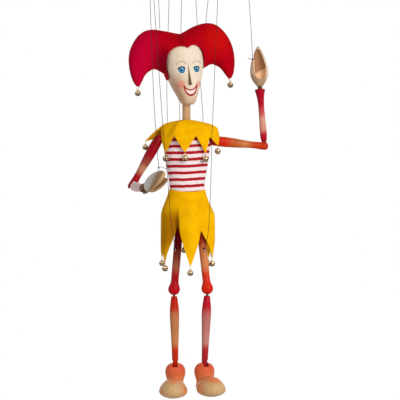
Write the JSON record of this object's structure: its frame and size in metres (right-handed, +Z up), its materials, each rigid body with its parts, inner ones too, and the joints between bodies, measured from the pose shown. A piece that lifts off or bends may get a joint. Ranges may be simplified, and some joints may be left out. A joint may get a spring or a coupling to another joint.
{
  "type": "wooden jester marionette",
  "caption": "String puppet of a jester in turned, stained wood with a horned leather hat, dagged leather collar and skirt, jingle bells and hand-held threads.",
  "frame": {"origin": "the point above the head where the strings are held, over the middle of the torso", "axes": "+Z up along the hanging figure, -Y the way it faces, +X its own left-hand side"},
  "size_m": [0.2283, 0.2218, 0.6533],
  "materials": {
    "pale_wood": "whitewashed wood under thin varnish",
    "striped_torso": "whitewashed wood with red painted stripes",
    "arm_paint": "crimson and natural stain under varnish",
    "leg_paint": "orange-red and natural stain under varnish",
    "shoe_wood": "natural toes with red stained uppers, varnished",
    "hat_leather": "dyed red suede",
    "yellow_leather": "dyed yellow suede",
    "bells": "antiqued brass",
    "pins": "drawn wire",
    "tabs": "dark brown leather",
    "thread": "waxed black thread"
  },
  "bodies": {
    "trunk": {"torso": "striped_torso", "hip_axle": "pins", "right_shoulder_tab": "tabs", "left_shoulder_tab": "tabs", "collar": "yellow_leather", "skirt": "yellow_leather", "right_shoulder_string": "thread", "left_shoulder_string": "thread", "back_string": "thread"},
    "neck": {"neck": "pale_wood"},
    "head": {"head": "pale_wood", "hat": "hat_leather", "neck_pin": "pins"},
    "right_upper_arm": {"right_upper_arm": "arm_paint"},
    "right_forearm": {"right_forearm": "arm_paint", "right_elbow_tab": "tabs"},
    "right_hand": {"right_hand": "pale_wood", "right_wrist_tab": "tabs"},
    "right_hand_string": {"right_hand_string": "thread", "right_hand_knot": "thread", "right_hand_tail": "thread"},
    "right_thigh": {"right_thigh": "leg_paint"},
    "right_shin": {"right_shin": "leg_paint", "right_knee_tab": "tabs"},
    "right_shoe": {"right_shoe": "shoe_wood", "right_ankle_pin": "pins"},
    "right_leg_string": {"right_leg_string": "thread"},
    "left_upper_arm": {"left_upper_arm": "arm_paint"},
    "left_forearm": {"left_forearm": "arm_paint", "left_elbow_tab": "tabs"},
    "left_hand": {"left_hand": "pale_wood", "left_wrist_tab": "tabs"},
    "left_hand_string": {"left_hand_string": "thread", "left_hand_knot": "thread", "left_hand_tail": "thread"},
    "left_thigh": {"left_thigh": "leg_paint"},
    "left_shin": {"left_shin": "leg_paint", "left_knee_tab": "tabs"},
    "left_shoe": {"left_shoe": "shoe_wood", "left_ankle_pin": "pins"},
    "left_leg_string": {"left_leg_string": "thread"},
    "collar_bell_1": {"collar_bell_1": "bells"},
    "collar_bell_2": {"collar_bell_2": "bells"},
    "collar_bell_3": {"collar_bell_3": "bells"},
    "collar_bell_4": {"collar_bell_4": "bells"},
    "collar_bell_5": {"collar_bell_5": "bells"},
    "collar_bell_6": {"collar_bell_6": "bells"},
    "collar_bell_7": {"collar_bell_7": "bells"},
    "collar_bell_8": {"collar_bell_8": "bells"},
    "skirt_bell_1": {"skirt_bell_1": "bells"},
    "skirt_bell_2": {"skirt_bell_2": "bells"},
    "skirt_bell_3": {"skirt_bell_3": "bells"},
    "skirt_bell_4": {"skirt_bell_4": "bells"},
    "skirt_bell_5": {"skirt_bell_5": "bells"},
    "skirt_bell_6": {"skirt_bell_6": "bells"},
    "hat_bell_right": {"hat_bell_right": "bells"},
    "hat_bell_left": {"hat_bell_left": "bells"},
    "right_head_string": {"right_head_string": "thread"},
    "left_head_string": {"left_head_string": "thread"}
  },
  "joints": [
    {"name": "neck_turn", "type": "hinge", "parent": "trunk", "child": "neck", "pos_m": [-0.001, 0, -0.186], "axis": [0, 0, 1], "range_deg": [-12, 12]},
    {"name": "head_nod", "type": "hinge", "parent": "neck", "child": "head", "pos_m": [-0.00184, -0.00004, -0.17804], "axis": [0.9932, 0.052, 0.1045], "range_deg": [-5, 7]},
    {"name": "right_shoulder", "type": "hinge", "parent": "trunk", "child": "right_upper_arm", "pos_m": [-0.047, 0, -0.246], "axis": [0, 1, 0], "range_deg": [-15, 30]},
    {"name": "right_elbow", "type": "hinge", "parent": "right_upper_arm", "child": "right_forearm", "pos_m": [-0.08875, 0, -0.31889], "axis": [0.8678, 0, -0.497], "range_deg": [-20, 35]},
    {"name": "right_wrist", "type": "hinge", "parent": "right_forearm", "child": "right_hand", "pos_m": [-0.08085, -0.08652, -0.32341], "axis": [0.8678, 0, -0.497], "range_deg": [-35, 20]},
    {"name": "left_shoulder", "type": "hinge", "parent": "trunk", "child": "left_upper_arm", "pos_m": [0.043, 0, -0.246], "axis": [0, 1, 0], "range_deg": [-3, 45]},
    {"name": "left_elbow", "type": "hinge", "parent": "left_upper_arm", "child": "left_forearm", "pos_m": [0.12663, 0, -0.2539], "axis": [0, 1, 0], "range_deg": [-2, 45]},
    {"name": "left_wrist", "type": "hinge", "parent": "left_forearm", "child": "left_hand", "pos_m": [0.11965, 0, -0.16719], "axis": [0, 1, 0], "range_deg": [-45, 2]},
    {"name": "right_hip", "type": "hinge", "parent": "trunk", "child": "right_thigh", "pos_m": [-0.011, 0, -0.368], "axis": [1, 0, 0], "range_deg": [-25, 6]},
    {"name": "right_knee", "type": "hinge", "parent": "right_thigh", "child": "right_shin", "pos_m": [-0.02091, 0, -0.48358], "axis": [1, 0, 0], "range_deg": [0, 80]},
    {"name": "right_ankle", "type": "hinge", "parent": "right_shin", "child": "right_shoe", "pos_m": [-0.01885, 0, -0.61456], "axis": [0.9703, -0.2419, 0], "range_deg": [-25, 20]},
    {"name": "left_hip", "type": "hinge", "parent": "trunk", "child": "left_thigh", "pos_m": [0.02, 0, -0.368], "axis": [1, 0, 0], "range_deg": [-10, 6]},
    {"name": "left_knee", "type": "hinge", "parent": "left_thigh", "child": "left_shin", "pos_m": [0.0289, -0.02207, -0.48153], "axis": [1, 0, 0], "range_deg": [0, 80]},
    {"name": "left_ankle", "type": "hinge", "parent": "left_shin", "child": "left_shoe", "pos_m": [0.02433, -0.02207, -0.61245], "axis": [0.9945, 0.1045, 0], "range_deg": [-25, 20]},
    {"name": "collar_bell_1_swing", "type": "hinge", "parent": "trunk", "child": "collar_bell_1", "pos_m": [-0.00777, -0.02779, -0.2667], "axis": [-0.2694, -0.963, 0], "range_deg": [-30, 30]},
    {"name": "collar_bell_2_swing", "type": "hinge", "parent": "trunk", "child": "collar_bell_2", "pos_m": [0.02579, -0.02322, -0.2677], "axis": [0.7432, -0.6691, 0], "range_deg": [-30, 30]},
    {"name": "collar_bell_3_swing", "type": "hinge", "parent": "trunk", "child": "collar_bell_3", "pos_m": [0.04704, -0.01554, -0.2547], "axis": [0.9495, -0.3137, 0], "range_deg": [-30, 30]},
    {"name": "collar_bell_4_swing", "type": "hinge", "parent": "trunk", "child": "collar_bell_4", "pos_m": [0.03455, 0.01975, -0.2637], "axis": [0.8682, 0.4962, 0], "range_deg": [-30, 30]},
    {"name": "collar_bell_5_swing", "type": "hinge", "parent": "trunk", "child": "collar_bell_5", "pos_m": [0.00545, 0.028, -0.2667], "axis": [0.1912, 0.9816, 0], "range_deg": [-30, 30]},
    {"name": "collar_bell_6_swing", "type": "hinge", "parent": "trunk", "child": "collar_bell_6", "pos_m": [-0.02579, 0.02322, -0.2667], "axis": [-0.7432, 0.6691, 0], "range_deg": [-30, 30]},
    {"name": "collar_bell_7_swing", "type": "hinge", "parent": "trunk", "child": "collar_bell_7", "pos_m": [-0.06544, 0.01345, -0.2477], "axis": [-0.9795, 0.2014, 0], "range_deg": [-25, 5]},
    {"name": "collar_bell_8_swing", "type": "hinge", "parent": "trunk", "child": "collar_bell_8", "pos_m": [-0.03695, -0.01631, -0.2667], "axis": [-0.9148, -0.4038, 0], "range_deg": [-30, 30]},
    {"name": "skirt_bell_1_swing", "type": "hinge", "parent": "trunk", "child": "skirt_bell_1", "pos_m": [0, -0.0314, -0.4477], "axis": [0, -1, 0], "range_deg": [-30, 30]},
    {"name": "skirt_bell_2_swing", "type": "hinge", "parent": "trunk", "child": "skirt_bell_2", "pos_m": [0.03797, -0.01579, -0.4337], "axis": [0.9233, -0.384, 0], "range_deg": [-30, 30]},
    {"name": "skirt_bell_3_swing", "type": "hinge", "parent": "trunk", "child": "skirt_bell_3", "pos_m": [0.03797, 0.01579, -0.4347], "axis": [0.9233, 0.384, 0], "range_deg": [-30, 30]},
    {"name": "skirt_bell_4_swing", "type": "hinge", "parent": "trunk", "child": "skirt_bell_4", "pos_m": [0, 0.0314, -0.4137], "axis": [0, 1, 0], "range_deg": [-30, 30]},
    {"name": "skirt_bell_5_swing", "type": "hinge", "parent": "trunk", "child": "skirt_bell_5", "pos_m": [-0.03797, 0.01579, -0.4337], "axis": [-0.9233, 0.384, 0], "range_deg": [-30, 30]},
    {"name": "skirt_bell_6_swing", "type": "hinge", "parent": "trunk", "child": "skirt_bell_6", "pos_m": [-0.03797, -0.01579, -0.4407], "axis": [-0.9233, -0.384, 0], "range_deg": [-30, 30]},
    {"name": "hat_bell_right_swing", "type": "hinge", "parent": "head", "child": "hat_bell_right", "pos_m": [-0.07998, -0.00414, -0.16289], "axis": [0.0523, -0.9986, 0], "range_deg": [-30, 30]},
    {"name": "hat_bell_left_swing", "type": "hinge", "parent": "head", "child": "hat_bell_left", "pos_m": [0.07138, 0.00379, -0.14696], "axis": [0.0523, -0.9986, 0], "range_deg": [-30, 30]},
    {"name": "right_hand_string_lead", "type": "hinge", "parent": "right_hand", "child": "right_hand_string", "pos_m": [-0.06153, -0.11018, -0.2969], "axis": [0, 1, 0], "range_deg": [-30, 15]},
    {"name": "right_leg_string_lead", "type": "hinge", "parent": "right_thigh", "child": "right_leg_string", "pos_m": [-0.01484, -0.00695, -0.413], "axis": [1, 0, 0], "range_deg": [-6, 25]},
    {"name": "right_head_string_lead", "type": "hinge", "parent": "head", "child": "right_head_string", "pos_m": [-0.04427, -0.00227, -0.06962], "axis": [0.9932, 0.052, 0.1045], "range_deg": [-7, 5]},
    {"name": "left_hand_string_lead", "type": "hinge", "parent": "left_hand", "child": "left_hand_string", "pos_m": [0.10673, -0.002, -0.11425], "axis": [0, 1, 0], "range_deg": [-45, 3]},
    {"name": "left_leg_string_lead", "type": "hinge", "parent": "left_thigh", "child": "left_leg_string", "pos_m": [0.02345, -0.01541, -0.41085], "axis": [1, 0, 0], "range_deg": [-6, 10]},
    {"name": "left_head_string_lead", "type": "hinge", "parent": "head", "child": "left_head_string", "pos_m": [0.03086, 0.00167, -0.05902], "axis": [0.9932, 0.052, 0.1045], "range_deg": [-7, 5]}
  ],
  "couplings": [
    {"joint": "right_wrist", "follows": "right_elbow", "ratio": -1},
    {"joint": "left_wrist", "follows": "left_elbow", "ratio": -1},
    {"joint": "right_hand_string_lead", "follows": "right_shoulder", "ratio": -1},
    {"joint": "right_leg_string_lead", "follows": "right_hip", "ratio": -1},
    {"joint": "right_head_string_lead", "follows": "head_nod", "ratio": -1},
    {"joint": "left_hand_string_lead", "follows": "left_shoulder", "ratio": -1},
    {"joint": "left_leg_string_lead", "follows": "left_hip", "ratio": -1},
    {"joint": "left_head_string_lead", "follows": "head_nod", "ratio": -1}
  ]
}
